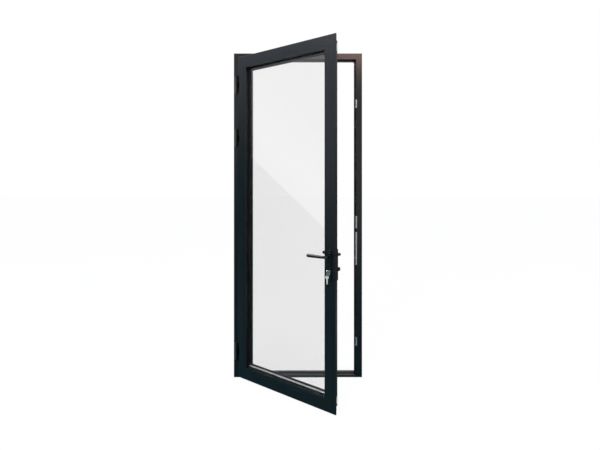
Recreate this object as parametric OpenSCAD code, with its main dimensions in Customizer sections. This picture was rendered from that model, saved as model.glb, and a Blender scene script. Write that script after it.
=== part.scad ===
// Glass casement door in its own frame. A double-glazed leaf hangs on three barrel
// hinges in a frame with a low threshold, and locks at several points along its edge.
// X runs along the width, Y away from the room side and Z up. The origin is at the
// middle of the threshold's underside. The leaf stands open at rest.

/* [Frame] */
// Width over the jambs
frame_w = 950; // [800:10:1150]
// Height over the head
frame_h = 2400; // [2250:10:2600]
// Depth from the room face to the back
frame_d = 65; // [60:1:80]
// Face width of the jambs and the head
frame_face = 45; // [42:1:60]
// Depth at which the rear leg starts
stop_from = 23; // [22.5:0.5:26]
// How far the rear leg stands past the face
stop_reach = 6; // [5:0.5:8]
// Wall of the frame bars
frame_wall = 2; // [1.5:0.1:3]
// Height of the threshold's tread
threshold_h = 16; // [12:0.5:20]
// Height of the threshold's rear lip
threshold_lip_h = 26; // [22:0.5:30]
// Depth of the threshold's tread
threshold_flat = 36; // [30:1:44]
// Arm length of the frame's corner cleats
frame_cleat = 70; // [50:1:90]

/* [Leaf] */
// From the frame's outer edge to the leaf's outer edge
leaf_margin = 36; // [34:0.5:38]
// From the floor to the leaf's lower edge
floor_gap = 14; // [12:0.5:16]
// How far the leaf stands in front of the frame
leaf_proud = 15; // [14.5:0.1:15.5]
// Depth of the leaf
leaf_d = 60; // [58:0.5:64]
// Thickness of the overlapping flange
flange_d = 10; // [8:0.1:10.5]
// From the leaf's outer edge to the hardware edge
flange_reach = 20; // [18:0.5:22]
// Depth at which the leaf steps in behind the hardware edge
shoulder_d = 34; // [33:0.1:34.4]
// From the leaf's outer edge to the stepped-in edge
body_reach = 28; // [26:0.5:32]
// Face width of the stiles and rails
stile_face = 60; // [58:1:75]
// From the leaf's outer edge to the top of the rear glazing leg
rear_leg_reach = 104; // [94:1:112]
// Thickness of the rear glazing leg
rear_leg_t = 6; // [4:0.5:8]
// Wall of the leaf bars
leaf_wall = 2; // [1.5:0.1:2.5]
// Width of the hardware groove
groove_w = 12; // [11:0.5:13]
// Depth of the hardware groove
groove_d = 7; // [6:0.5:8]
// Arm length of the leaf's corner cleats
leaf_cleat = 90; // [60:1:110]
// How far the leaf stands open at rest, in degrees
rest_open = 39.5; // [0:0.5:90]

/* [Glazing] */
// Thickness of each pane
pane_t = 6; // [4:0.5:7]
// Gap between the panes
cavity = 12; // [8:0.5:14]
// Thickness of the glazing gaskets
gasket_t = 3; // [2:0.5:4]
// Width of the glazing beads
bead_w = 26; // [20:0.5:30]
// How far the beads sit behind the leaf's face
bead_set = 1; // [0.5:0.1:3]
// Bevel on the inner edge of the beads
bead_bevel = 2; // [1:0.5:6]
// Gap between the glass edge and the bars
edge_clear = 6; // [4:0.5:8]
// Height of the spacer bar
spacer_h = 8; // [6:0.5:10]
// How far the spacer bar shows past the beads
spacer_show = 10; // [0:0.5:12]

/* [Hinges] */
// From the frame's outer edge to the hinge axis
hinge_inset = 26.5; // [25:0.5:27]
// From the leaf's face back to the hinge axis
hinge_set = 5; // [4.5:0.1:5.5]
// Diameter of the barrel
barrel_d = 16; // [14:0.5:16.5]
// Length of the barrel
barrel_len = 126; // [100:2:150]
// Length of the leaf's knuckle
knuckle_len = 46; // [36:1:56]
// Diameter of the pin
pin_d = 8; // [6:0.5:9]
// Thickness of the leaf's wing
wing_t = 3.2; // [2.5:0.1:3.4]
// Height of the lowest hinge
low_hinge_z = 196; // [150:1:300]
// From the top of the frame down to the top hinge
top_hinge_drop = 235; // [180:1:300]
// From the top hinge down to the middle hinge
mid_hinge_drop = 393; // [250:1:900]

/* [Handle] */
// Height of the lever's axis
handle_z = 986; // [950:1:1050]
// From the leaf's outer edge to the lever's axis
backset = 41; // [40:0.5:42]
// From the lever's axis down to the cylinder
cylinder_drop = 92; // [90:0.5:94]
// Length of the lever from its axis
lever_len = 141; // [110:1:150]
// From the leaf's face to the lever's middle line
lever_off = 56; // [40:1:60]
// Radius of the lever at its root
lever_r = 9; // [7:0.1:9.5]
// Radius of the lever's bend
lever_bend = 18; // [14:0.5:20]
// Radius of the lever at its tip
lever_tip_r = 11; // [8:0.1:12]
// Width of the handle plates
plate_w = 28; // [25:0.5:32]
// Height of the handle plates
plate_h = 198; // [180:1:220]
// Thickness of the handle plates
plate_t = 8; // [6:0.5:10]
// Side of the square spindle
spindle_w = 8; // [7:0.5:9]

/* [Lock] */
// Thickness of the lock case
case_t = 16; // [15:0.5:17]
// Width of the lock case
case_w = 36; // [34.5:0.5:37]
// Sheet of the lock case
case_wall = 1.5; // [1:0.1:1.8]
// Thickness of the faceplate
faceplate_t = 2.5; // [2:0.1:3]
// Width of the faceplate
faceplate_w = 22; // [18:0.5:23]
// How far the latch bolt stands out
latch_throw = 12; // [10.5:0.1:12.5]
// Height of the latch bolt
latch_h = 28; // [20:1:30]
// Height of the dead bolt
dead_h = 34; // [24:1:38]
// Thickness of the bolts
bolt_t = 10; // [8:0.1:10.2]
// Travel of the rods
rod_throw = 18; // [14:1:20]
// Radius of the locking studs
stud_r = 5; // [4:0.1:5.5]
// From the top of the frame down to the top stud
top_stud_drop = 381; // [330:1:500]
// From the lever's axis up to the centre stud
centre_stud_rise = 154; // [140:1:200]
// Height of the low stud
low_stud_z = 273; // [230:1:450]
// Length of the rod end guides
guide_len = 42; // [30:1:60]
// From the leaf's ends to the rod end guides
guide_inset = 58; // [40:1:70]

/* [Keeps] */
// How far the keeps stand out from the jamb
keep_t = 6; // [5.5:0.1:6.2]
// Depth of the keeps
keep_d = 18; // [16:0.5:18.5]
// Width of the keeps' front lip on the jamb's face
keep_lip_w = 10; // [6:0.5:14]
// Thickness of the keeps' front lip
keep_lip_t = 1; // [0.6:0.1:1]
// Length of the end keeps
end_keep_len = 62; // [58:1:80]
// Length of the centre keep
centre_keep_len = 89; // [60:1:100]
// Length of the main strike
strike_len = 243; // [200:1:260]

/* [Keys] */
// Diameter of the key bows
bow_d = 22; // [18:0.5:24]
// Thickness of the keys
key_t = 2.2; // [1.8:0.1:2.4]
// Diameter of the key ring
ring_d = 22; // [20:0.5:26]
// Wire diameter of the key ring
ring_wire = 1.8; // [1.2:0.1:2.2]
// Length of the key blades
blade_len = 27; // [20:1:30]
// How far the ring hangs turned from the leaf's plane, in degrees
ring_turn = 32; // [0:1:40]

/* [Wall anchors] */
// Diameter of the anchor holes
anchor_d = 10.5; // [8:0.5:12]
// Height of the lowest anchor
anchor_first = 350; // [330:1:380]
// Diameter of the access holes behind the anchor holes
access_d = 14; // [12.5:0.5:15]
// Distance from the main strike down to the anchor below it
anchor_under_strike = 43.5; // [35:0.5:55]
// Distance from that anchor to the next two above it
anchor_pitch = 440; // [435:1:445]
// Distance between the two anchors in the head
head_anchor_pitch = 500; // [300:10:600]

/* [Hidden] */
$fn = 48;

// Clearances: laid-in pieces, sliding pieces, turning pins, and seals that just touch
seat_clear = 0.2;
slide_clear = 0.3;
pin_clear = 0.05;
seal_clear = 0.3;
// Gap under the ring and the spare key where they hang
hang_clear = 0.5;
// How far cuts run past the faces that they open
past = 1;
// Small bevel on the outer edges of the bars
edge_bevel = 1.2;

// Frame
half_w = frame_w / 2;
front_y = -frame_d / 2;
jamb_x = half_w - frame_face;
jamb_reach = frame_face + stop_reach;
leg_y = front_y + stop_from;

// Leaf
leaf_x = half_w - leaf_margin;
leaf_w = 2 * leaf_x;
leaf_y = front_y - leaf_proud;
frame_seal_t = leg_y - (leaf_y + shoulder_d) - seal_clear;
anchor_y = front_y + (stop_from - frame_seal_t) / 2;
leaf_bottom = floor_gap;
leaf_top = frame_h - leaf_margin;
leaf_h = leaf_top - leaf_bottom;
groove_mid = (flange_d + shoulder_d) / 2;
groove_back = flange_reach + groove_d;
chamber_from = groove_back + leaf_wall;

// Glazing, as depths behind the leaf's face and distances from its outer edge
rear_leg_front = leaf_d - rear_leg_t;
glass_back = rear_leg_front - gasket_t;
glass_front = glass_back - 2 * pane_t - cavity;
bead_back = glass_front - gasket_t;
sight = stile_face + bead_w;
glass_edge = stile_face + edge_clear;
spacer_in = sight + spacer_show;

// Hinges
hinge_x = -half_w + hinge_inset;
hinge_y = leaf_y + hinge_set;
top_hinge_z = frame_h - top_hinge_drop;
mid_hinge_z = top_hinge_z - mid_hinge_drop;
hinge_heights = [low_hinge_z, mid_hinge_z, top_hinge_z];
hinge_to_face = front_y - hinge_y;
notch_reach = flange_reach - 4;
notch_len = barrel_len + 2;
knuckle_gap = 0.5;
wing_len = barrel_len - 16;
hinge_plate_t = 2.4;
hinge_plate_from = 24;
hinge_plate_to = 5;
hinge_screw_off = 16;
hinge_screw_rise = barrel_len / 2 - 14;
wing_screw_rise = wing_len / 2 - 14;
wing_screw_b = (groove_mid + groove_w / 2 + shoulder_d) / 2;
screw_r = 2.1;
screw_head_r = 4;
screw_head_t = 2;
screw_hole_r = screw_r + seat_clear;

// Lock
cylinder_z = handle_z - cylinder_drop;
case_over_lever = 60;
case_under_cylinder = 45;
case_high = handle_z + case_over_lever;
case_low = cylinder_z - case_under_cylinder;
case_front = groove_mid - case_t / 2;
case_back = groove_mid + case_t / 2;
case_end = flange_reach + case_w;
latch_rise = 34;
dead_drop = 48;
strike_drop = 24;
latch_z = handle_z + latch_rise;
dead_z = handle_z - dead_drop;
strike_z = (latch_z + dead_z) / 2 - strike_drop;
under_strike_z = strike_z - strike_len / 2 - anchor_under_strike;
anchor_heights = [anchor_first, for (i = [0:2]) under_strike_z + i * anchor_pitch];
stud_b = groove_mid - leaf_proud;
bolt_end = backset;
top_stud_z = frame_h - top_stud_drop;
centre_stud_z = handle_z + centre_stud_rise;
low_guide_z = leaf_bottom + guide_inset;
top_guide_z = leaf_top - guide_inset - guide_len;
faceplate_out = flange_reach - faceplate_t;
stud_top = faceplate_out - 0.5;
stud_len = 6;
stem_r = 3;
follower_r = 10;

// Profile cylinder
profile_r = 8.5;
profile_h = 33;
profile_leg_r = 5;
plug_r = 6.9;
cylinder_proud = 3;
cylinder_front = -plate_t - cylinder_proud;
cylinder_back = leaf_d + plate_t + cylinder_proud;
cam_t = 9;
cam_r = 13;

// Handle plates
plate_rise = 40;
plate_z = handle_z + plate_rise - plate_h / 2;
plate_screw_rise = plate_h / 2 - 14;
collar_r = 10;

// Keys: the bow's middle and hole, ahead of the cylinder
bow_shank = 4;
bow_b = cylinder_front - bow_shank - bow_d / 2;
bow_hole_off = bow_d / 2 - 5;
bow_hole_r = 3.6;
ring_b = bow_b - bow_hole_off;
ring_drop = bow_hole_r - ring_wire / 2 - hang_clear;
ring_z = cylinder_z - ring_drop - ring_d / 2;
spare_hole_z = ring_z - ring_d / 2 - ring_drop;

bar_colour = [0.13, 0.14, 0.16];
black = [0.06, 0.06, 0.07];
rubber = [0.03, 0.03, 0.03];
zinc = [0.66, 0.67, 0.68];
steel = [0.72, 0.72, 0.73];
glass_tint = [0.8, 0.9, 0.9, 0.3];

function arc(r, z, from, to, steps) =
    [for (i = [0:steps]) let (t = from + (to - from) * i / steps) [r * cos(t), z + r * sin(t)]];

// Turns a shape drawn on the closed leaf to where the open leaf stands
module swung() {
    translate([hinge_x, hinge_y, 0])
        rotate([0, 0, -rest_open])
            translate([-hinge_x, -hinge_y, 0])
                children();
}

// The leaf's hinge edge: x runs inward from the outer edge, y back from the face
module at_hinge_edge() {
    swung()
        translate([-leaf_x, leaf_y, 0])
            children();
}

// The leaf's lock edge, with the same directions
module at_lock_edge() {
    swung()
        translate([leaf_x, leaf_y, 0])
            mirror([1, 0, 0])
                children();
}

// The lock jamb's room-side inner corner: x runs into the opening, y back from the face
module at_lock_jamb() {
    translate([jamb_x, front_y, 0])
        mirror([1, 0, 0])
            children();
}

// A bar drawn along Z, cut at 45 degrees where asked at its foot and its top
module mitred(length, reach, depth, foot, top) {
    intersection() {
        linear_extrude(length)
            children();
        translate([0, depth, 0])
            rotate([90, 0, 0])
                linear_extrude(depth)
                    polygon([
                        [0, 0], [reach, foot ? reach : 0],
                        [reach, length - (top ? reach : 0)], [0, length]
                    ]);
    }
}

// A box between two corners
module block(low, high) {
    translate(low)
        cube(high - low);
}

// A drill along Y from one depth to another
module along_y(r, from, to) {
    translate([0, to, 0])
        rotate([90, 0, 0])
            cylinder(r = r, h = to - from);
}

// A drill along X from one place to another
module along_x(r, from, to) {
    translate([from, 0, 0])
        rotate([0, 90, 0])
            cylinder(r = r, h = to - from);
}

// A flat outline in X and Z, given depth from one Y to another
module slab(from, to) {
    translate([0, to, 0])
        rotate([90, 0, 0])
            linear_extrude(to - from)
                children();
}

module rounded_rect(w, h, r) {
    square([w - 2 * r, h], center = true);
    square([w, h - 2 * r], center = true);
    for (sx = [-1, 1], sz = [-1, 1])
        translate([sx * (w / 2 - r), sz * (h / 2 - r)])
            circle(r);
}

// The leaf's outline drawn in by a distance from its outer edge
module leaf_outline(inset) {
    translate([-leaf_x + inset, leaf_bottom + inset])
        square([leaf_w - 2 * inset, leaf_h - 2 * inset]);
}

// A ring round the glass between two insets and two depths
module leaf_ring(outer, inner, from, to) {
    swung()
        translate([0, leaf_y, 0])
            slab(from, to)
                difference() {
                    leaf_outline(outer);
                    leaf_outline(inner);
                }
}

module frame_profile() {
    rear_from = stop_from + frame_wall;
    difference() {
        polygon([
            [0, edge_bevel], [edge_bevel, 0], [frame_face - edge_bevel, 0], [frame_face, edge_bevel],
            [frame_face, stop_from], [jamb_reach, stop_from], [jamb_reach, frame_d], [0, frame_d]
        ]);
        translate([frame_wall, frame_wall])
            square([frame_face - 2 * frame_wall, stop_from - 2 * frame_wall]);
        translate([frame_wall, rear_from])
            square([jamb_reach - 2 * frame_wall, frame_d - frame_wall - rear_from]);
    }
}

module leaf_profile() {
    groove_low = groove_mid - groove_w / 2;
    groove_high = groove_mid + groove_w / 2;
    rear_from = shoulder_d + leaf_wall;
    difference() {
        polygon([
            [0, edge_bevel], [edge_bevel, 0], [stile_face, 0], [stile_face, rear_leg_front],
            [rear_leg_reach, rear_leg_front], [rear_leg_reach, leaf_d], [body_reach, leaf_d],
            [body_reach, shoulder_d], [flange_reach, shoulder_d], [flange_reach, groove_high],
            [groove_back, groove_high], [groove_back, groove_low], [flange_reach, groove_low],
            [flange_reach, flange_d], [0, flange_d]
        ]);
        translate([chamber_from, leaf_wall])
            square([stile_face - leaf_wall - chamber_from, shoulder_d - 2 * leaf_wall]);
        translate([body_reach + leaf_wall, rear_from])
            square([stile_face - body_reach - 2 * leaf_wall, leaf_d - leaf_wall - rear_from]);
    }
}

module bead_profile() {
    bead_wall = 1.6;
    difference() {
        polygon([
            [stile_face, bead_set], [sight - bead_bevel, bead_set], [sight, bead_set + bead_bevel],
            [sight, bead_back], [stile_face, bead_back]
        ]);
        translate([stile_face + bead_wall, bead_set + bead_bevel])
            square([bead_w - 2 * bead_wall, bead_back - bead_set - bead_bevel - bead_wall]);
    }
}

module leaf_bar() {
    mitred(leaf_h, rear_leg_reach, leaf_d, true, true)
        leaf_profile();
}

// A bar across the leaf, with its outer edge up
module leaf_cross(reach) {
    rotate([0, 90, 0])
        mitred(leaf_w, reach, leaf_d, true, true)
            children();
}

module at_top_edge() {
    swung()
        translate([-leaf_x, leaf_y, leaf_top])
            children();
}

module at_bottom_edge() {
    swung()
        translate([-leaf_x, leaf_y, leaf_bottom])
            mirror([0, 0, 1])
                children();
}

// Frame

// An anchor hole in the outer wall at the origin, with its access hole a face width behind
module anchor_hole() {
    translate([0, 0, -past])
        cylinder(d = anchor_d, h = 2 * frame_wall + past);
    translate([0, 0, frame_face - 2 * frame_wall])
        cylinder(d = access_d, h = 2 * frame_wall + past);
}

module anchor_holes(side) {
    for (z = anchor_heights)
        translate([side * half_w, anchor_y, z])
            rotate([0, -side * 90, 0])
                anchor_hole();
}

module jamb() {
    translate([-half_w, front_y, 0])
        mitred(frame_h, jamb_reach, frame_d, false, true)
            frame_profile();
}

module head() {
    color(bar_colour)
        difference() {
            translate([-half_w, front_y, frame_h])
                rotate([0, 90, 0])
                    mitred(frame_w, jamb_reach, frame_d, true, true)
                        frame_profile();
            for (side = [-1, 1])
                translate([side * head_anchor_pitch / 2, anchor_y, frame_h])
                    rotate([180, 0, 0])
                        anchor_hole();
        }
}

module hinge_jamb() {
    color(bar_colour)
        difference() {
            jamb();
            anchor_holes(-1);
            for (z = hinge_heights)
                hinge_frame_screw_places(z)
                    along_y(screw_hole_r, -past, frame_wall + past);
        }
}

module lock_jamb() {
    color(bar_colour)
        difference() {
            mirror([1, 0, 0])
                jamb();
            anchor_holes(1);
            at_lock_jamb() {
                lip_seat(keep_mid(top_stud_z, 1), end_keep_len);
                lip_seat(keep_mid(centre_stud_z, 1), centre_keep_len);
                lip_seat(keep_mid(low_stud_z, -1), end_keep_len);
                lip_seat(strike_z, strike_len);
                for (place = [[latch_z, latch_h], [dead_z, dead_h]])
                    bolt_window(place[0], place[1], -2 * frame_wall, past);
                keep_screw_places()
                    along_x(screw_hole_r, -2 * frame_wall, past);
            }
        }
}

module threshold() {
    wall = frame_wall;
    length = 2 * jamb_x;
    color([0.2, 0.2, 0.2])
        difference() {
            translate([-jamb_x, front_y, 0])
                rotate([90, 0, 90])
                    linear_extrude(length)
                        difference() {
                            polygon([
                                [0, 0], [0, threshold_h - edge_bevel], [edge_bevel, threshold_h],
                                [threshold_flat, threshold_h], [threshold_flat + 4, threshold_lip_h],
                                [frame_d - edge_bevel, threshold_lip_h],
                                [frame_d, threshold_lip_h - edge_bevel], [frame_d, 0]
                            ]);
                            translate([wall, wall])
                                square([threshold_flat - 2 * wall, threshold_h - 2 * wall]);
                            translate([threshold_flat + 4, wall])
                                square([frame_d - threshold_flat - 4 - wall, threshold_lip_h - 2 * wall]);
                        }
            for (side = [-1, 1])
                translate([side * jamb_x, leg_y + (frame_d + past - stop_from) / 2, 0])
                    cube([2 * stop_reach, frame_d + past - stop_from, 4 * threshold_lip_h], center = true);
        }
}

module frame_corner_cleats() {
    gap = frame_wall + seat_clear;
    size = frame_face - 2 * gap;
    color(zinc)
        for (side = [0, 1])
            mirror([side, 0, 0])
                translate([-half_w + gap, front_y + gap, frame_h - gap])
                    difference() {
                        union() {
                            block([0, 0, -frame_cleat], [size, stop_from - 2 * gap, 0]);
                            block([0, 0, -size], [frame_cleat, stop_from - 2 * gap, 0]);
                        }
                        translate([size / 2, 0, -frame_cleat * 0.8])
                            along_y(3, -past, stop_from);
                    }
}

module frame_gasket() {
    lip_reach = 7;
    lip = jamb_reach + lip_reach;
    corner_r = 16;
    inner_w = frame_w - 2 * lip;
    inner_top = frame_h - lip;
    color(rubber)
        slab(leg_y - frame_seal_t, leg_y)
            difference() {
                translate([-jamb_x, threshold_h])
                    square([2 * jamb_x, frame_h - frame_face - threshold_h]);
                translate([-inner_w / 2, 0])
                    square([inner_w, inner_top - corner_r]);
                translate([-inner_w / 2 + corner_r, 0])
                    square([inner_w - 2 * corner_r, inner_top]);
                for (side = [-1, 1])
                    translate([side * (inner_w / 2 - corner_r), inner_top - corner_r])
                        circle(corner_r);
            }
}

module anchor_caps() {
    cap_t = 1.5;
    color(black) {
        for (side = [-1, 1], z = anchor_heights)
            translate([side * jamb_x, anchor_y, z])
                rotate([0, -side * 90, 0])
                    cap(cap_t);
        for (side = [-1, 1])
            translate([side * head_anchor_pitch / 2, anchor_y, frame_h - frame_face])
                rotate([180, 0, 0])
                    cap(cap_t);
    }
}

// A push-in cap over an access hole, its head on the face and its plug in the hole
module cap(head_t) {
    cylinder(r = access_d / 2 + 1.5, h = head_t);
    translate([0, 0, -2 * frame_wall])
        cylinder(r = access_d / 2 - seat_clear, h = 2 * frame_wall + head_t / 2);
}

// Keeps on the lock jamb

// The middle of a keep whose stud travels in the given direction
function keep_mid(stud_z, dir) = stud_z + dir * rod_throw / 2;

// The recess in the jamb's face that takes a keep's lip
module lip_seat(mid, length) {
    block([-keep_lip_w, -past, mid - length / 2], [past, keep_lip_t, mid + length / 2]);
}

// A bolt's window, clear of the bolt all round
module bolt_window(z, height, from, to) {
    block(
        [from, stud_b - bolt_t / 2 - slide_clear, z - height / 2 - slide_clear],
        [to, stud_b + bolt_t / 2 + slide_clear, z + height / 2 + slide_clear]
    );
}

module keep_blank(mid, length) {
    difference() {
        union() {
            block([0, 0, mid - length / 2], [keep_t, keep_d, mid + length / 2]);
            block([-keep_lip_w, 0, mid - length / 2], [keep_t, keep_lip_t, mid + length / 2]);
        }
        for (end = [-1, 1])
            translate([0, stud_b + 2, mid + end * (length / 2 - 6)]) {
                along_x(screw_hole_r, -past, keep_t + past);
                along_x(screw_head_r + seat_clear, keep_t - screw_head_t, keep_t + past);
            }
    }
}

// A keep with a pocket for a stud, open at the front where the stud comes in
module stud_keep(stud_z, dir, length) {
    side_clear = 2;
    pocket = stud_r + side_clear;
    mid = keep_mid(stud_z, dir);
    color(zinc)
        at_lock_jamb()
            difference() {
                keep_blank(mid, length);
                block(
                    [-past, stud_b - stud_r - slide_clear, mid - rod_throw / 2 - pocket],
                    [keep_t + past, stud_b + pocket, mid + rod_throw / 2 + pocket]
                );
                block([-past, -past, stud_z - pocket], [keep_t + past, stud_b, stud_z + pocket]);
            }
}

module main_strike() {
    color(zinc)
        at_lock_jamb()
            difference() {
                keep_blank(strike_z, strike_len);
                bolt_window(latch_z, latch_h, -past, keep_t + past);
                bolt_window(dead_z, dead_h, -past, keep_t + past);
            }
}

module keep_screw_places() {
    ends = [
        [keep_mid(top_stud_z, 1), end_keep_len], [keep_mid(centre_stud_z, 1), centre_keep_len],
        [keep_mid(low_stud_z, -1), end_keep_len], [strike_z, strike_len]
    ];
    for (place = ends, end = [-1, 1])
        translate([0, stud_b + 2, place[0] + end * (place[1] / 2 - 6)])
            children();
}

module keep_screws() {
    color(steel)
        at_lock_jamb()
            keep_screw_places() {
                along_x(screw_r, -2 * frame_wall, keep_t - screw_head_t);
                along_x(screw_head_r, keep_t - screw_head_t, keep_t);
            }
}

// Hinges

module at_hinge(z) {
    translate([hinge_x, hinge_y, z])
        children();
}

module hinge_frame_screw_places(z) {
    for (end = [-1, 1])
        translate([hinge_x - hinge_screw_off, front_y, z + end * hinge_screw_rise])
            children();
}

// The frame's half: two knuckles on feet, joined by a plate on the jamb's face
module hinge_frame_half(z) {
    foot_w = 12;
    end_len = (barrel_len - knuckle_len) / 2 - knuckle_gap;
    color(black)
        difference() {
            at_hinge(z)
                difference() {
                    union() {
                        block(
                            [-hinge_plate_from, hinge_to_face - hinge_plate_t, -barrel_len / 2],
                            [-hinge_plate_to, hinge_to_face, barrel_len / 2]
                        );
                        for (end = [0, 1])
                            mirror([0, 0, end])
                                translate([0, 0, barrel_len / 2 - end_len]) {
                                    cylinder(d = barrel_d, h = end_len);
                                    translate([-foot_w / 2, 0, 0])
                                        cube([foot_w, hinge_to_face, end_len]);
                                }
                    }
                    cylinder(d = pin_d + 2 * pin_clear, h = 2 * barrel_len, center = true);
                }
            hinge_frame_screw_places(z) {
                along_y(screw_hole_r, -2 * hinge_plate_t, past);
                along_y(screw_head_r + seat_clear, -2 * hinge_plate_t, screw_head_t - hinge_plate_t);
            }
        }
}

// The pins with their two end caps
module hinge_pins() {
    cap_h = 4;
    cap_r = barrel_d / 2;
    color(black)
        for (z = hinge_heights)
            at_hinge(z)
                rotate_extrude()
                    polygon([
                        [0, -barrel_len / 2 - cap_h], [cap_r - cap_h / 2, -barrel_len / 2 - cap_h],
                        [cap_r, -barrel_len / 2 - cap_h / 2], [cap_r, -barrel_len / 2],
                        [pin_d / 2, -barrel_len / 2], [pin_d / 2, barrel_len / 2],
                        [cap_r, barrel_len / 2], [cap_r, barrel_len / 2 + cap_h / 2],
                        [cap_r - cap_h / 2, barrel_len / 2 + cap_h], [0, barrel_len / 2 + cap_h]
                    ]);
}

module hinge_frame_screws() {
    color(black)
        for (z = hinge_heights)
            hinge_frame_screw_places(z) {
                along_y(screw_r, screw_head_t - hinge_plate_t, 2 * frame_wall);
                along_y(screw_head_r, -hinge_plate_t, screw_head_t - hinge_plate_t);
            }
}

module wing_screw_places(z) {
    for (end = [-1, 1])
        translate([flange_reach, wing_screw_b, z + end * wing_screw_rise])
            children();
}

// The leaf's half: a knuckle with a wing that runs behind the flange and turns onto the bar
module hinge_leaf_half(z) {
    wing_b = flange_d + seat_clear;
    knuckle_a = hinge_x + leaf_x;
    color(black)
        at_hinge_edge()
            difference() {
                union() {
                    translate([knuckle_a, hinge_set, z - knuckle_len / 2])
                        cylinder(d = barrel_d, h = knuckle_len);
                    block(
                        [knuckle_a, wing_b, z - knuckle_len / 2],
                        [flange_reach, wing_b + wing_t, z + knuckle_len / 2]
                    );
                    block(
                        [flange_reach - wing_t, wing_b, z - wing_len / 2],
                        [flange_reach, shoulder_d, z + wing_len / 2]
                    );
                }
                translate([knuckle_a, hinge_set, z])
                    cylinder(d = pin_d + 2 * pin_clear, h = 2 * knuckle_len, center = true);
                wing_screw_places(z)
                    along_x(screw_hole_r, -2 * wing_t, past);
            }
}

module hinge_leaf_screws() {
    color(black)
        at_hinge_edge()
            for (z = hinge_heights)
                wing_screw_places(z) {
                    along_x(screw_r, -wing_t, groove_d);
                    along_x(screw_head_r - 1, -wing_t - screw_head_t / 2, -wing_t);
                }
}

// Leaf bars

module hinge_stile() {
    color(bar_colour)
        at_hinge_edge()
            difference() {
                translate([0, 0, leaf_bottom])
                    leaf_bar();
                for (z = hinge_heights) {
                    block(
                        [-past, -past, z - notch_len / 2],
                        [notch_reach, flange_d + past, z + notch_len / 2]
                    );
                    wing_screw_places(z)
                        along_x(screw_hole_r, -past, groove_d + past);
                }
            }
}

module lock_stile() {
    color(bar_colour)
        at_lock_edge()
            difference() {
                translate([0, 0, leaf_bottom])
                    leaf_bar();
                block(
                    [flange_reach - past, case_front - slide_clear, case_low - slide_clear],
                    [case_end + slide_clear, case_back + slide_clear, case_high + slide_clear]
                );
                translate([backset, 0, handle_z])
                    along_y(collar_r, -past, leaf_d + past);
                translate([backset, 0, cylinder_z])
                    slab(-past, leaf_d + past)
                        cylinder_profile(slide_clear);
                plate_screw_places()
                    along_y(screw_hole_r, -past, leaf_d + past);
            }
}

module top_rail() {
    color(bar_colour)
        at_top_edge()
            leaf_cross(rear_leg_reach)
                leaf_profile();
}

module bottom_rail() {
    color(bar_colour)
        at_bottom_edge()
            leaf_cross(rear_leg_reach)
                leaf_profile();
}

module leaf_corner_cleats() {
    low = chamber_from + seat_clear;
    size = stile_face - leaf_wall - seat_clear - low;
    thick = shoulder_d - 2 * leaf_wall - 2 * seat_clear;
    color(zinc)
        swung()
            translate([0, leaf_y + leaf_wall + seat_clear, (leaf_bottom + leaf_top) / 2])
                for (sx = [0, 1], sz = [0, 1])
                    mirror([sx, 0, 0])
                        mirror([0, 0, sz])
                            translate([-leaf_x + low, 0, -leaf_h / 2 + low])
                                difference() {
                                    union() {
                                        cube([size, thick, leaf_cleat]);
                                        cube([leaf_cleat, thick, size]);
                                    }
                                    translate([size / 2, 0, leaf_cleat * 0.8])
                                        along_y(4, -past, thick + past);
                                }
}

// Glazing

module pane(from, to) {
    color(glass_tint)
        swung()
            translate([0, leaf_y, 0])
                slab(from, to)
                    leaf_outline(glass_edge);
}

module front_pane() {
    pane(glass_front, glass_front + pane_t);
}

module rear_pane() {
    pane(glass_back - pane_t, glass_back);
}

module spacer_bar() {
    color(steel)
        leaf_ring(spacer_in - spacer_h, spacer_in, glass_front + pane_t, glass_back - pane_t);
}

module edge_seal() {
    color(rubber)
        leaf_ring(glass_edge, spacer_in - spacer_h, glass_front + pane_t, glass_back - pane_t);
}

module hinge_bead() {
    color(bar_colour)
        at_hinge_edge()
            translate([0, 0, leaf_bottom])
                mitred(leaf_h, sight, leaf_d, true, true)
                    bead_profile();
}

module lock_bead() {
    color(bar_colour)
        at_lock_edge()
            translate([0, 0, leaf_bottom])
                mitred(leaf_h, sight, leaf_d, true, true)
                    bead_profile();
}

module top_bead() {
    color(bar_colour)
        at_top_edge()
            leaf_cross(sight)
                bead_profile();
}

module bottom_bead() {
    color(bar_colour)
        at_bottom_edge()
            leaf_cross(sight)
                bead_profile();
}

module front_gasket() {
    color(rubber)
        leaf_ring(sight - 8, sight + 0.8, bead_back, glass_front);
}

module rear_gasket() {
    color(rubber)
        leaf_ring(rear_leg_reach - 8, rear_leg_reach + 0.8, glass_back, rear_leg_front);
}

// Plastic blocks that carry the glass on the bars
module setting_blocks() {
    long = 100;
    side_inset = 300;
    side_z = [leaf_bottom + side_inset, leaf_top - side_inset];
    color([0.2, 0.2, 0.22])
        swung()
            translate([0, leaf_y, 0]) {
                for (side = [-1, 1])
                    translate([side * leaf_x / 2, 0, 0])
                        block(
                            [-long / 2, glass_front, leaf_bottom + stile_face],
                            [long / 2, glass_back, leaf_bottom + glass_edge]
                        );
                for (side = [0, 1], z = side_z)
                    mirror([side, 0, 0])
                        block(
                            [-leaf_x + stile_face, glass_front, z - long / 2],
                            [-leaf_x + glass_edge, glass_back, z + long / 2]
                        );
            }
}

// Seal behind the flange on three sides, broken where the hinges pass
module overlap_gasket() {
    outer = 2.5;
    inner = 7.5;
    depth = leaf_proud - flange_d - seal_clear;
    low = leaf_bottom + flange_reach;
    color(rubber)
        difference() {
            swung()
                translate([0, leaf_y, 0])
                    slab(flange_d, flange_d + depth)
                        difference() {
                            leaf_outline(outer);
                            leaf_outline(inner);
                            translate([-leaf_x, 0])
                                square([leaf_w, low]);
                        }
            at_hinge_edge()
                for (z = hinge_heights)
                    block([-past, 0, z - notch_len / 2], [flange_reach, leaf_d, z + notch_len / 2]);
        }
}

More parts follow.
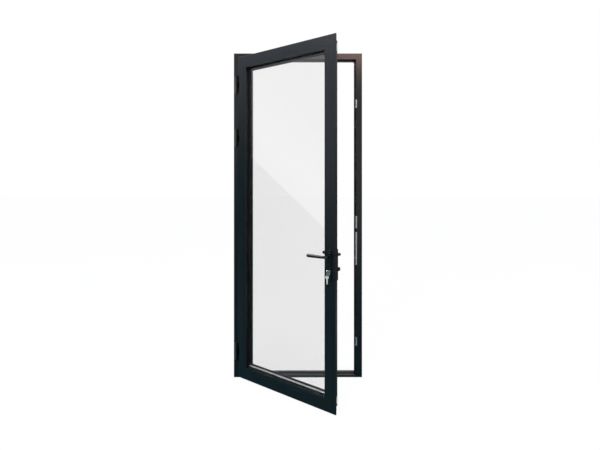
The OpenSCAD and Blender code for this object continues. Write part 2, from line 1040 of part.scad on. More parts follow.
// A fin in a carrier under the bottom rail, just clear of the tread
module bottom_sweep() {
    carrier_h = 5;
    carrier_w = 16;
    fin_w = 4;
    rail_z = leaf_bottom + flange_reach;
    fin_z = threshold_h + seal_clear;
    half = leaf_x - flange_reach;
    color(rubber)
        swung()
            translate([-half, leaf_y + groove_mid, 0])
                rotate([90, 0, 90])
                    linear_extrude(2 * half)
                        polygon([
                            [-carrier_w / 2, rail_z], [-carrier_w / 2, rail_z - carrier_h],
                            [-fin_w / 2, rail_z - carrier_h], [-fin_w / 2, fin_z],
                            [fin_w / 2, fin_z], [fin_w / 2, rail_z - carrier_h],
                            [carrier_w / 2, rail_z - carrier_h], [carrier_w / 2, rail_z]
                        ]);
}

// Lock

module cylinder_profile(grow) {
    circle(profile_r + grow);
    leg = profile_h - profile_r - profile_leg_r;
    translate([-profile_leg_r - grow, -leg])
        square([2 * (profile_leg_r + grow), leg]);
    translate([0, -leg])
        circle(profile_leg_r + grow);
}

// What passes through both sides of the case: the spindle's hub and the cylinder
module case_holes() {
    translate([backset, 0, handle_z])
        along_y(spindle_w * 0.8, case_front - past, case_back + past);
    translate([backset, 0, cylinder_z])
        slab(case_front - past, case_back + past)
            cylinder_profile(slide_clear);
}

module lock_case() {
    color(steel)
        at_lock_edge()
            difference() {
                block([flange_reach, case_front, case_low], [case_end, case_back - case_wall, case_high]);
                block(
                    [flange_reach + case_wall, case_front + case_wall, case_low + case_wall],
                    [case_end - case_wall, case_back, case_high - case_wall]
                );
                case_holes();
                for (place = [[latch_z, latch_h], [dead_z, dead_h]])
                    edge_window(place[0], place[1]);
            }
}

// A bolt's window through the faceplate and the case's edge
module edge_window(z, height) {
    block(
        [faceplate_out - past, groove_mid - bolt_t / 2 - slide_clear, z - height / 2 - slide_clear],
        [
            flange_reach + case_wall + past,
            groove_mid + bolt_t / 2 + slide_clear,
            z + height / 2 + slide_clear
        ]
    );
}

module lock_cover() {
    color(steel)
        at_lock_edge()
            difference() {
                block([flange_reach, case_back - case_wall, case_low], [case_end, case_back, case_high]);
                case_holes();
            }
}

// The slot that a stud's stem slides along
module stem_slot(z, dir) {
    half = stem_r + slide_clear;
    far = z + dir * rod_throw;
    block(
        [faceplate_out - past, groove_mid - half, min(z, far) - half],
        [flange_reach + past, groove_mid + half, max(z, far) + half]
    );
}

module faceplate() {
    color(steel)
        at_lock_edge()
            difference() {
                block(
                    [faceplate_out, groove_mid - faceplate_w / 2, low_guide_z + guide_len],
                    [flange_reach, groove_mid + faceplate_w / 2, top_guide_z]
                );
                edge_window(latch_z, latch_h);
                edge_window(dead_z, dead_h);
                stem_slot(top_stud_z, 1);
                stem_slot(centre_stud_z, 1);
                stem_slot(low_stud_z, -1);
            }
}

module rod_guides() {
    guide_t = 9;
    color([0.75, 0.76, 0.77])
        at_lock_edge()
            for (z = [low_guide_z, top_guide_z])
                difference() {
                    block(
                        [flange_reach - guide_t, groove_mid - faceplate_w / 2, z],
                        [flange_reach, groove_mid + faceplate_w / 2, z + guide_len]
                    );
                    for (end = [-1, 1])
                        translate([0, groove_mid, z + guide_len / 2 + end * guide_len / 4])
                            along_x(3, flange_reach - guide_t - past, flange_reach - guide_t / 2);
                }
}

module follower() {
    finger_r = 16;
    low = case_front + case_wall + slide_clear;
    high = case_back - case_wall - slide_clear;
    color(zinc)
        at_lock_edge()
            translate([backset, 0, handle_z])
                difference() {
                    union() {
                        along_y(follower_r, low, high);
                        block([-3, low + 2, 0], [3, high - 2, finger_r]);
                    }
                    spindle_hole(low - past, high + past);
                }
}

module spindle_hole(from, to) {
    half = spindle_w / 2 + seat_clear / 2;
    block([-half, from, -half], [half, to, half]);
}

module spindle() {
    half = spindle_w / 2;
    inset = 12;
    color(steel)
        at_lock_edge()
            translate([backset, 0, handle_z])
                block([-half, inset - lever_off, -half], [half, leaf_d + lever_off - inset, half]);
}

// A lever on the room side: a collar in the plate, a neck, and a tapered round grip
module lever_shape() {
    socket_end = 10;
    bend_b = lever_bend - lever_off;
    difference() {
        union() {
            along_y(collar_r - slide_clear, -plate_t - 3, 0);
            along_y(lever_r, bend_b, -plate_t);
            translate([lever_bend, bend_b, 0])
                rotate([0, 0, 180])
                    rotate_extrude(angle = 90)
                        translate([lever_bend, 0])
                            circle(lever_r);
            translate([lever_bend, -lever_off, 0])
                rotate([0, 90, 0])
                    rotate_extrude()
                        polygon(concat(
                            [[0, 0], [lever_r, 0]],
                            arc(lever_tip_r, lever_len - lever_bend - lever_tip_r, 0, 90, 8)
                        ));
        }
        spindle_hole(socket_end - lever_off, past);
    }
}

module front_lever() {
    color(black)
        at_lock_edge()
            translate([backset, 0, handle_z])
                lever_shape();
}

module rear_lever() {
    color(black)
        at_lock_edge()
            translate([backset, leaf_d, handle_z])
                mirror([0, 1, 0])
                    lever_shape();
}

module plate_screw_places() {
    for (end = [-1, 1])
        translate([backset, 0, plate_z + end * plate_screw_rise])
            children();
}

// A plate on the room side, stepped at its edge, with a hole for the lever and the cylinder
module plate_shape() {
    step = 1;
    round_r = 5;
    difference() {
        translate([backset, 0, plate_z]) {
            slab(-plate_t + step, 0)
                rounded_rect(plate_w, plate_h, round_r);
            slab(-plate_t, -plate_t + step)
                rounded_rect(plate_w - 2 * step, plate_h - 2 * step, round_r - step);
        }
        translate([backset, 0, handle_z])
            along_y(collar_r, -plate_t - past, past);
        translate([backset, 0, cylinder_z])
            slab(-plate_t - past, past)
                cylinder_profile(slide_clear);
        plate_screw_places() {
            along_y(screw_hole_r, -plate_t - past, past);
            along_y(screw_head_r + seat_clear, -plate_t - past, screw_head_t - plate_t);
        }
    }
}

module front_plate() {
    color(black)
        at_lock_edge()
            plate_shape();
}

module rear_plate() {
    color(black)
        at_lock_edge()
            translate([0, leaf_d, 0])
                mirror([0, 1, 0])
                    plate_shape();
}

module plate_screws() {
    color(black)
        at_lock_edge()
            for (side = [0, 1])
                translate([0, side * leaf_d, 0])
                    mirror([0, side, 0])
                        plate_screw_places() {
                            along_y(screw_r, screw_head_t - plate_t, 2 * leaf_wall);
                            along_y(screw_head_r, -plate_t, screw_head_t - plate_t);
                        }
}

// The latch bolt, bevelled on the side that meets the strike first
module latch_bolt() {
    tip = flange_reach - latch_throw;
    low = groove_mid - bolt_t / 2;
    high = groove_mid + bolt_t / 2;
    color(steel)
        at_lock_edge()
            translate([0, 0, latch_z - latch_h / 2])
                linear_extrude(latch_h)
                    polygon([
                        [tip, low], [bolt_end, low], [bolt_end, high],
                        [flange_reach - past, high], [tip, low + 3]
                    ]);
}

module dead_bolt() {
    color(steel)
        at_lock_edge()
            block(
                [faceplate_out + seat_clear, groove_mid - bolt_t / 2, dead_z - dead_h / 2],
                [case_end - case_wall - slide_clear, groove_mid + bolt_t / 2, dead_z + dead_h / 2]
            );
}

// Profile cylinder: the slot at its middle leaves room for the cam
module cylinder_body() {
    slot = cam_t + 1;
    color(steel)
        at_lock_edge()
            translate([backset, 0, cylinder_z])
                difference() {
                    slab(cylinder_front, cylinder_back)
                        cylinder_profile(0);
                    along_y(plug_r + pin_clear, cylinder_front - past, cylinder_back + past);
                    block(
                        [-profile_r - past, groove_mid - slot / 2, -cam_r - past],
                        [profile_r + past, groove_mid + slot / 2, profile_r + past]
                    );
                }
}

// The keyed plug with the cam on its inner end
module cylinder_plug() {
    cam_end = groove_mid + cam_t / 2;
    keyway_end = cylinder_front + blade_len + past;
    color(steel)
        at_lock_edge()
            translate([backset, 0, cylinder_z])
                difference() {
                    union() {
                        along_y(plug_r, cylinder_front, cam_end);
                        block([-3, groove_mid - cam_t / 2, 0], [3, cam_end, cam_r]);
                    }
                    block(
                        [-key_t / 2 - seat_clear, cylinder_front - past, -4 - seat_clear],
                        [key_t / 2 + seat_clear, keyway_end, 4 + seat_clear]
                    );
                }
}

module thumb_turn() {
    knob_neck = 6;
    knob_d = 14;
    knob_h = 26;
    knob_end = cylinder_back + 30;
    color(black)
        at_lock_edge()
            translate([backset, 0, cylinder_z]) {
                along_y(plug_r, groove_mid + cam_t / 2, cylinder_back);
                along_y(knob_d / 2, cylinder_back, cylinder_back + knob_neck);
                slab(cylinder_back + knob_neck, knob_end)
                    rounded_rect(knob_d, knob_h, knob_d / 2 - 0.2);
            }
}

// A flat key along +Z from its bow's middle at the origin, the hole on its far side
module key_shape() {
    blade_h = 8;
    cuts = 4;
    cut_w = 2.4;
    cut_pitch = blade_len / (cuts + 2);
    blade_tip = -bow_d / 2 - bow_shank - blade_len;
    rotate([0, 90, 0])
        translate([0, 0, -key_t / 2])
            linear_extrude(key_t)
                difference() {
                    union() {
                        circle(d = bow_d);
                        translate([blade_tip, -blade_h / 2])
                            square([-blade_tip, blade_h]);
                    }
                    translate([bow_hole_off, 0])
                        circle(bow_hole_r);
                    for (i = [1:cuts])
                        translate([blade_tip + i * cut_pitch, blade_h / 2])
                            rotate(45)
                                square(cut_w, center = true);
                }
}

module door_key() {
    color(steel)
        at_lock_edge()
            translate([backset, bow_b, cylinder_z])
                rotate([-90, 0, 0])
                    key_shape();
}

module at_ring() {
    at_lock_edge()
        translate([backset, ring_b, 0])
            rotate([0, 0, ring_turn])
                children();
}

module key_ring() {
    color(steel)
        at_ring()
            translate([0, 0, ring_z])
                rotate([90, 0, 0])
                    rotate_extrude()
                        translate([ring_d / 2, 0])
                            circle(d = ring_wire, $fn = 16);
}

module spare_key() {
    color(steel)
        at_ring()
            translate([0, 0, spare_hole_z - bow_hole_off])
                rotate([180, 0, 0])
                    key_shape();
}

// A rod in the groove, with a headed stud at each of the given heights
module rod(low, high, studs) {
    rod_out = flange_reach + slide_clear;
    color(steel)
        at_lock_edge() {
            block(
                [rod_out, groove_mid - groove_w / 2 + slide_clear, low],
                [groove_back - slide_clear, groove_mid + groove_w / 2 - slide_clear, high]
            );
            for (z = studs)
                translate([0, groove_mid, z]) {
                    along_x(stem_r, stud_top - past, rod_out + past);
                    along_x(stud_r, stud_top - stud_len, stud_top);
                }
        }
}

module upper_rod() {
    rod(case_high + 1, top_guide_z + guide_len / 4, [top_stud_z, centre_stud_z]);
}

module lower_rod() {
    rod(low_guide_z + guide_len * 3 / 4, case_low - 1, [low_stud_z]);
}

head();
hinge_jamb();
lock_jamb();
threshold();
frame_corner_cleats();
frame_gasket();
anchor_caps();
stud_keep(top_stud_z, 1, end_keep_len);  // top_keep
stud_keep(centre_stud_z, 1, centre_keep_len);  // centre_keep
main_strike();
stud_keep(low_stud_z, -1, end_keep_len);  // bottom_keep
keep_screws();
hinge_frame_half(low_hinge_z);  // low_hinge_frame_half
hinge_frame_half(mid_hinge_z);  // mid_hinge_frame_half
hinge_frame_half(top_hinge_z);  // top_hinge_frame_half
hinge_pins();
hinge_frame_screws();
hinge_leaf_half(low_hinge_z);  // low_hinge_leaf_half
hinge_leaf_half(mid_hinge_z);  // mid_hinge_leaf_half
hinge_leaf_half(top_hinge_z);  // top_hinge_leaf_half
hinge_leaf_screws();
hinge_stile();
lock_stile();
top_rail();
bottom_rail();
leaf_corner_cleats();
front_pane();
rear_pane();
spacer_bar();
edge_seal();
hinge_bead();
lock_bead();
top_bead();
bottom_bead();
front_gasket();
rear_gasket();
setting_blocks();
overlap_gasket();
bottom_sweep();
lock_case();
lock_cover();
faceplate();
rod_guides();
cylinder_body();
front_plate();
rear_plate();
plate_screws();
follower();
spindle();
front_lever();
rear_lever();
latch_bolt();
dead_bolt();
cylinder_plug();
thumb_turn();
door_key();
key_ring();
spare_key();
upper_rod();
lower_rod();
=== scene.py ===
import math

import bpy
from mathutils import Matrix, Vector


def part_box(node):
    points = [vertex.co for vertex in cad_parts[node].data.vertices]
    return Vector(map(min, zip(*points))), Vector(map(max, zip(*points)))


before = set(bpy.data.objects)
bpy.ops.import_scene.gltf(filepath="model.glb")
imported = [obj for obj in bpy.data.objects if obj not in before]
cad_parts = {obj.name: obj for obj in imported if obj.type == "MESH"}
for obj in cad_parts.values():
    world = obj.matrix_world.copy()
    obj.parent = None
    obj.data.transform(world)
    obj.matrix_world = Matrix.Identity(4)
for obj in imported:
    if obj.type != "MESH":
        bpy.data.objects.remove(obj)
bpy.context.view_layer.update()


# Frame bars: the head and two jambs are extruded aluminium, cut at 45 degrees at the top corners
# and pulled tight on hidden cleats. They are powder coated in a satin anthracite, which dries with
# a fine pebbled skin, and a hairline shows where the mitres meet.
class Value:
    """A number that changes over a surface. Sums on it add Math nodes to its finish."""

    def __init__(self, finish, socket):
        self.finish = finish
        self.socket = socket

    def sum(self, operation, *terms):
        return self.finish.node("ShaderNodeMath", {"operation": operation}, dict(enumerate(terms)))

    def __add__(self, other):
        return self.sum("ADD", self, other)

    def __radd__(self, other):
        return self.sum("ADD", other, self)

    def __sub__(self, other):
        return self.sum("SUBTRACT", self, other)

    def __rsub__(self, other):
        return self.sum("SUBTRACT", other, self)

    def __mul__(self, other):
        return self.sum("MULTIPLY", self, other)

    def __rmul__(self, other):
        return self.sum("MULTIPLY", other, self)

    def __lt__(self, other):
        return self.sum("LESS_THAN", self, other)

    def __gt__(self, other):
        return self.sum("GREATER_THAN", self, other)

    def __abs__(self):
        return self.sum("ABSOLUTE", self)


class Nodes:
    """The node tree of a finish or of the room. Each of its nodes comes from the node method."""

    def __init__(self, tree):
        self.tree = tree

    def node(self, kind, settings=None, sockets=None, out=0):
        node = self.tree.nodes.new(kind)
        for name, value in (settings or {}).items():
            setattr(node, name, value)
        for name, value in (sockets or {}).items():
            if isinstance(value, Value):
                self.tree.links.new(value.socket, node.inputs[name])
            else:
                node.inputs[name].default_value = value
        return Value(self, node.outputs[out]) if node.outputs else None


class Finish(Nodes):
    """The surface of one kind of piece: a material, and the nodes that feed its shader."""

    def __init__(self, name, **fixed):
        self.material = bpy.data.materials.new(name)
        self.material.use_nodes = True
        super().__init__(self.material.node_tree)
        self.shader = self.tree.nodes["Principled BSDF"]
        for socket, value in fixed.items():
            self.shader.inputs[socket.replace("_", " ")].default_value = value
        self.place = self.node("ShaderNodeTexCoord", out="Object")

    def along(self, axis):
        return self.node("ShaderNodeSeparateXYZ", sockets={0: self.place}, out=axis)

    def grain(self, scale, detail=2.0, place=None):
        sockets = {"Vector": place or self.place, "Scale": scale, "Detail": detail}
        return self.node("ShaderNodeTexNoise", sockets=sockets)

    def stretched(self, scale):
        return self.node("ShaderNodeMapping", sockets={"Vector": self.place, "Scale": scale})

    def blend(self, amount, first, second):
        factor, colour_a, colour_b, result = 0, 6, 7, 2
        sockets = {factor: amount, colour_a: first, colour_b: second}
        return self.node("ShaderNodeMix", {"data_type": "RGBA"}, sockets, out=result)

    def bump(self, height, depth, strength=1.0, under=None):
        sockets = {"Height": height, "Distance": depth, "Strength": strength}
        if under:
            sockets["Normal"] = under
        return self.node("ShaderNodeBump", sockets=sockets)

    def rounded(self, radius):
        return self.node("ShaderNodeBevel", {"samples": 4}, {"Radius": radius})

    def feed(self, **values):
        for socket, value in values.items():
            self.tree.links.new(value.socket, self.shader.inputs[socket.replace("_", " ")])

    def dress(self, *nodes):
        for node in nodes:
            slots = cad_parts[node].data.materials
            slots.clear()
            slots.append(self.material)


pebbles, pebble_depth, bar_edge = 780.0, 0.00012, 0.0007
mitre_line, mitre_depth, mitre_black = 0.0004, 0.0004, (0.002, 0.002, 0.002, 1)


def powder_coat(name, pale, deep, hairline, gloss=0.34, rough=0.22):
    """The coat of a bar, with a dark groove where hairline says that two bars meet."""
    coat = Finish(name, Specular_IOR_Level=gloss)
    cloud = coat.grain(5.0, 3.0)
    skin = coat.grain(pebbles, 1.0)
    joint = hairline(coat)
    colour = coat.blend(cloud, deep, pale)
    peel = coat.bump(skin, pebble_depth, 0.22, coat.rounded(bar_edge))
    seam = coat.bump(1 - joint, mitre_depth, 0.8, peel)
    coat.feed(
        Base_Color=coat.blend(joint, colour, mitre_black),
        Roughness=rough + 0.08 * cloud + 0.06 * skin + 0.3 * joint,
        Normal=seam,
    )
    return coat


def frame_mitres(coat):
    """A line from each top corner, where the head meets a jamb."""
    half_wide, high = 0.475, 2.4
    from_side = half_wide - abs(coat.along("X"))
    from_top = high - coat.along("Z")
    return abs(from_side - from_top) < mitre_line


bar_pale, bar_deep = (0.0050, 0.0066, 0.0082, 1), (0.0030, 0.0042, 0.0054, 1)
frame_coat = powder_coat("frame_powder_coat", bar_pale, bar_deep, frame_mitres)
frame_coat.dress("head", "hinge_jamb", "lock_jamb")


# Corner cleats: sawn blocks of bare extruded aluminium that fill the bars' corners inside the
# mitres, in the frame and in the leaf. The saw leaves fine straight marks.
cleat_metal = Finish("mill_aluminium", Metallic=1.0)
saw_marks = cleat_metal.grain(1.0, 2.0, cleat_metal.stretched((90.0, 90.0, 2600.0)))
stain = cleat_metal.grain(30.0, 3.0)
cleat_metal.feed(
    Base_Color=cleat_metal.blend(stain, (0.60, 0.61, 0.62, 1), (0.74, 0.75, 0.76, 1)),
    Roughness=0.3 + 0.2 * saw_marks,
    Normal=cleat_metal.bump(saw_marks, 0.0002, 0.3),
)
cleat_metal.dress("frame_corner_cleats", "leaf_corner_cleats")


# Threshold: a low coated aluminium sill with an upstand behind, screwed up between the jambs. Feet
# polish and scuff it along its length, so its top is greyer than the bars.
sill_coat = Finish("threshold_powder_coat", Specular_IOR_Level=0.42)
scuffs = sill_coat.grain(1.0, 4.0, sill_coat.stretched((30.0, 420.0, 420.0)))
dust = sill_coat.grain(14.0, 4.0)
sill_skin = sill_coat.grain(pebbles, 1.0)
sill_dark, sill_dusty = (0.010, 0.0105, 0.0105, 1), (0.026, 0.026, 0.025, 1)
sill_coat.feed(
    Base_Color=sill_coat.blend(0.55 * dust + 0.45 * scuffs, sill_dark, sill_dusty),
    Roughness=0.28 + 0.3 * scuffs,
    Normal=sill_coat.bump(sill_skin + 0.6 * scuffs, pebble_depth, 0.3, sill_coat.rounded(bar_edge)),
)
sill_coat.dress("threshold")


# Gaskets and seals: extruded black rubber pushed into grooves of the frame and leaf, and around
# both sides of the glass. It has a matt, finely pitted skin that holds dust.
skin_depth = 0.0001
rubber = Finish("black_rubber", Specular_IOR_Level=0.35)
rubber_dust = rubber.grain(40.0, 4.0)
rubber_skin = rubber.grain(1400.0, 2.0)
rubber.feed(
    Base_Color=rubber.blend(rubber_dust, (0.006, 0.006, 0.0065, 1), (0.016, 0.016, 0.017, 1)),
    Roughness=0.5 + 0.2 * rubber_dust,
    Normal=rubber.bump(rubber_skin, skin_depth, 0.35),
)
rubber.dress("frame_gasket", "overlap_gasket", "bottom_sweep")
rubber.dress("front_gasket", "rear_gasket", "edge_seal")


# Anchor caps and setting blocks: small mouldings in black nylon. The caps push into the access
# holes of the frame anchors, and the blocks carry the glass in the leaf.
nylon = Finish("black_nylon", Specular_IOR_Level=0.4)
spark = nylon.grain(900.0, 2.0)
nylon_dark, nylon_pale = (0.014, 0.014, 0.015, 1), (0.026, 0.026, 0.028, 1)
nylon.feed(
    Base_Color=nylon.blend(nylon.grain(60.0, 2.0), nylon_dark, nylon_pale),
    Roughness=0.42 + 0.15 * spark,
    Normal=nylon.bump(spark, skin_depth, 0.4, nylon.rounded(0.0005)),
)
nylon.dress("anchor_caps", "setting_blocks")


# Lock case and cover: pressed steel, plated with zinc and let into the lock stile. The plating has
# a faint crystal bloom.
zinc_deep, zinc_pale = (0.36, 0.37, 0.38, 1), (0.52, 0.53, 0.55, 1)
zinc_pits, zinc_edge = 260.0, 0.0006
zinc = Finish("zinc_plate", Metallic=0.6)
crystals = {"Vector": zinc.place, "Scale": 420.0}
bloom = zinc.node("ShaderNodeTexVoronoi", sockets=crystals, out="Distance")
cast = zinc.grain(zinc_pits, 3.0)
zinc.feed(
    Base_Color=zinc.blend(0.5 * bloom + 0.5 * cast, zinc_deep, zinc_pale),
    Roughness=0.26 + 0.18 * cast,
    Normal=zinc.bump(cast, skin_depth, 0.25, zinc.rounded(zinc_edge)),
)
zinc.dress("lock_case", "lock_cover")


# Keeps: die-cast zinc plates let into the lock jamb, each held by two screws, with pockets for the
# studs of the rods and windows for the latch and dead bolt. Each is painted near-black except for a
# narrow upright strip of bright zinc, which is a painted highlight where the plate catches the
# light.
keep_highlight_from, keep_highlight_to = 0.4286, 0.4374
keep_painted_dark = (0.012, 0.012, 0.013, 1)
keep_zinc = Finish("keep_zinc_with_painted_highlight")
across = keep_zinc.along("X")
pitting = keep_zinc.grain(zinc_pits, 3.0)
ragged = across + 0.0012 * pitting
# Painted highlight: only the strip between two X positions is bright zinc; the rest of each keep is
# painted near-black.
keep_highlight_strip = (ragged > keep_highlight_from) * (ragged < keep_highlight_to)
keep_highlight_zinc = keep_zinc.blend(pitting, zinc_deep, zinc_pale)
keep_zinc.feed(
    Base_Color=keep_zinc.blend(keep_highlight_strip, keep_painted_dark, keep_highlight_zinc),
    Metallic=0.1 + 0.5 * keep_highlight_strip,
    Roughness=0.44 - 0.16 * keep_highlight_strip + 0.12 * pitting,
    Normal=keep_zinc.bump(pitting, skin_depth, 0.25, keep_zinc.rounded(zinc_edge)),
)
keep_zinc.dress("top_keep", "centre_keep", "main_strike", "bottom_keep")


# Leaf bars: two stiles and two rails of the same coated extrusion, mitred at all four corners, with
# snap-in beads of the same colour around the glass on the front.
def leaf_mitres(coat):
    """A line across each corner of the leaf, in the leaf's own turned frame."""
    open_by = math.radians(39.5)
    hinge_x, hinge_y = -0.4485, -0.0425
    middle_along, half_wide, middle_high, half_high = 0.4485, 0.439, 1.189, 1.175
    x, y, z = (coat.along(axis) for axis in "XYZ")
    along = (x - hinge_x) * math.cos(open_by) - (y - hinge_y) * math.sin(open_by)
    from_side = half_wide - abs(along - middle_along)
    from_end = half_high - abs(z - middle_high)
    return abs(from_side - from_end) < mitre_line


leaf_coat = powder_coat("leaf_powder_coat", bar_pale, bar_deep, leaf_mitres)
leaf_coat.dress("hinge_stile", "lock_stile", "top_rail", "bottom_rail")
leaf_coat.dress("hinge_bead", "lock_bead", "top_bead")

# The bottom bead lies where water and dust settle, and has gone dull. Its colour is lighter and
# more teal than the bars' coat, a painted reflection of the teal that the glossier bars mirror.
# Painted reflection: the bead's colour is tinted teal to stand for the teal the bars reflect.
bead_reflection_tint_pale, bead_reflection_tint_deep = (0.0075, 0.0150, 0.0175, 1), (0.0055, 0.0115, 0.0140, 1)
dull_coat = powder_coat(
    "dulled_coat_painted_reflection", bead_reflection_tint_pale, bead_reflection_tint_deep, leaf_mitres, gloss=0.1, rough=0.42
)
dull_coat.dress("bottom_bead")


# Glass: two clear float panes, sealed round a spacer. They take a little light from what stands
# behind them, and a thin film on them varies from place to place.
glass = Finish("clear_float_glass", Transmission_Weight=1.0, IOR=1.4)
film = glass.grain(3.0, 3.0)
glass.feed(
    Base_Color=glass.blend(film, (0.947, 0.942, 0.941, 1), (0.954, 0.950, 0.949, 1)),
    Roughness=0.004 * film,
)
glass.dress("front_pane", "rear_pane")


# Spacer: a rolled aluminium tube between the panes, filled with drying beads. It is painted
# near-black as painted shade, except for a band on the upper part of the bottom run. That band is
# painted bright aluminium as a painted highlight for the light it catches from above.
spacer = Finish("spacer_aluminium")
rolled = spacer.grain(1.0, 2.0, spacer.stretched((900.0, 900.0, 40.0)))
spacer_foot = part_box("spacer_bar")[0][2]
highlight_band_foot, highlight_band_top = 0.003, 0.0085
height = spacer.along("Z") - spacer_foot
# Painted highlight and shade: only a band low on the bottom run is bright aluminium; the rest of
# the spacer is painted near-black.
spacer_highlight_band = (height > highlight_band_foot) * (height < highlight_band_top)
spacer_highlight_colour = spacer.blend(rolled, (0.86, 0.87, 0.88, 1), (0.94, 0.945, 0.95, 1))
spacer_painted_shade = (0.012, 0.012, 0.013, 1)
spacer.feed(
    Base_Color=spacer.blend(spacer_highlight_band, spacer_painted_shade, spacer_highlight_colour),
    Metallic=0.08 * spacer_highlight_band,
    Roughness=0.45 - 0.1 * spacer_highlight_band + 0.16 * rolled,
    Normal=spacer.bump(rolled, skin_depth, 0.2),
)
spacer.dress("spacer_bar")


# Black fittings: the hinge and plate screws and the long faceplate on the lock edge are steel with
# a thin black coat that has a soft sheen.
coat_skin, fitting_edge = 1300.0, 0.0008
hardware = Finish("black_hardware_coat", Specular_IOR_Level=0.5)
sheen = hardware.grain(60.0, 3.0)
hardware_skin = hardware.grain(coat_skin, 1.0)
hardware.feed(
    Base_Color=hardware.blend(sheen, (0.014, 0.0145, 0.015, 1), (0.026, 0.0265, 0.027, 1)),
    Roughness=0.30 + 0.14 * sheen,
    Normal=hardware.bump(hardware_skin, skin_depth, 0.16, hardware.rounded(fitting_edge)),
)
hardware.dress("hinge_frame_screws", "hinge_leaf_screws", "plate_screws", "faceplate")


# Hinges: three barrel hinges, half on the jamb and half on the leaf, turning on a hidden pin with a
# flat cap at each end. The plates are coated. The knuckles and the leaf side are near-black metal,
# partly their own darker steel and partly painted shade for the dark slot beside the barrel.
hinge_x, shade_line_offset = -0.4485, -0.0085
hinge_coat = Finish("hinge_coat_and_painted_shade", Specular_IOR_Level=0.5)
from_axis = hinge_coat.along("X") - hinge_x
# Painted shade: everything right of a line 8.5 mm left of the hinge axis is near-black metal, for
# the dark slot beside the barrel as well as the darker knuckles.
dark_knuckle_and_shade = from_axis > shade_line_offset
rubbing = hinge_coat.grain(60.0, 3.0)
hinge_skin = hinge_coat.grain(coat_skin, 1.0)
plate_colour = hinge_coat.blend(rubbing, (0.020, 0.0205, 0.021, 1), (0.034, 0.0345, 0.035, 1))
dark_steel_and_shade_colour = hinge_coat.blend(rubbing, (0.006, 0.006, 0.0065, 1), (0.012, 0.012, 0.0125, 1))
hinge_coat.feed(
    Base_Color=hinge_coat.blend(dark_knuckle_and_shade, plate_colour, dark_steel_and_shade_colour),
    Metallic=dark_knuckle_and_shade,
    Roughness=0.30 + 0.14 * rubbing + 0.06 * dark_knuckle_and_shade,
    Normal=hinge_coat.bump(hinge_skin, skin_depth, 0.16, hinge_coat.rounded(fitting_edge)),
)
hinge_coat.dress(
    "low_hinge_frame_half", "mid_hinge_frame_half", "top_hinge_frame_half",
    "low_hinge_leaf_half", "mid_hinge_leaf_half", "top_hinge_leaf_half", "hinge_pins",
)


# Handles: a cast lever on each side, squared on to the spindle, with a long plate behind it and a
# thumb-turn outside. They are lacquered in a deeper and glossier black than the bars.
lacquer = Finish("black_lacquer", Specular_IOR_Level=0.4)
depth = lacquer.grain(50.0, 3.0)
orange_peel = lacquer.grain(420.0, 1.0)
lacquer.feed(
    Base_Color=lacquer.blend(depth, (0.003, 0.003, 0.0035, 1), (0.006, 0.006, 0.007, 1)),
    Roughness=0.08 + 0.08 * depth,
    Normal=lacquer.bump(orange_peel, skin_depth, 0.10, lacquer.rounded(fitting_edge)),
)
lacquer.dress("front_plate", "rear_plate", "front_lever", "rear_lever", "thumb_turn")


# Steel: the keep screws, bolts, rods, spindle and follower are bright zinc-plated or ground steel,
# with fine scratches along their length.
steel = Finish("ground_steel", Metallic=1.0)
scratch = steel.grain(1.0, 3.0, steel.stretched((1200.0, 1200.0, 60.0)))
blush = steel.grain(45.0, 3.0)
steel.feed(
    Base_Color=steel.blend(blush, (0.50, 0.50, 0.50, 1), (0.66, 0.66, 0.66, 1)),
    Roughness=0.24 + 0.2 * scratch,
    Normal=steel.bump(scratch, skin_depth, 0.15, steel.rounded(0.0004)),
)
steel.dress("keep_screws", "upper_rod", "lower_rod")
steel.dress("latch_bolt", "dead_bolt", "spindle", "follower")


# Rod guides: pale grey moulded ends on the lock edge, at the top and bottom, that the rods run
# through. Moulding leaves a fine even skin.
moulding = Finish("grey_moulding", Specular_IOR_Level=0.45)
flow = moulding.grain(90.0, 3.0)
mould_skin = moulding.grain(1200.0, 1.0)
moulding.feed(
    Base_Color=moulding.blend(flow, (0.46, 0.47, 0.48, 1), (0.60, 0.61, 0.62, 1)),
    Roughness=0.4 + 0.15 * flow,
    Normal=moulding.bump(mould_skin, skin_depth, 0.25, moulding.rounded(0.0006)),
)
moulding.dress("rod_guides")


# Cylinder and keys: a profile cylinder slid through the lock case, with a key in its plug and a
# second key on the same ring. They are nickel-plated brass, worn a little brighter in places.
nickel = Finish("nickel_plate", Metallic=1.0)
wear = nickel.grain(70.0, 4.0)
hair = nickel.grain(1.0, 2.0, nickel.stretched((300.0, 300.0, 2600.0)))
nickel.feed(
    Base_Color=nickel.blend(wear, (0.62, 0.60, 0.57, 1), (0.78, 0.77, 0.75, 1)),
    Roughness=0.18 + 0.16 * hair + 0.08 * wear,
    Normal=nickel.bump(hair, skin_depth, 0.15, nickel.rounded(0.0003)),
)
nickel.dress("cylinder_body", "cylinder_plug", "door_key", "key_ring", "spare_key")


# Floor and surroundings: a pale seamless floor that shows white and keeps a soft shadow, and a
# white world behind it.
def seen_white(nodes):
    """1 for the rays that should find a white background."""
    rays = ("Is Camera Ray", "Is Glossy Ray", "Is Transmission Ray")
    camera, glossy, through = (nodes.node("ShaderNodeLightPath", out=ray) for ray in rays)
    either = camera.sum("MAXIMUM", camera, glossy)
    return either.sum("MAXIMUM", either, through)


def mixed(nodes, share, first, second):
    return nodes.node("ShaderNodeMixShader", sockets={0: share, 1: first, 2: second})


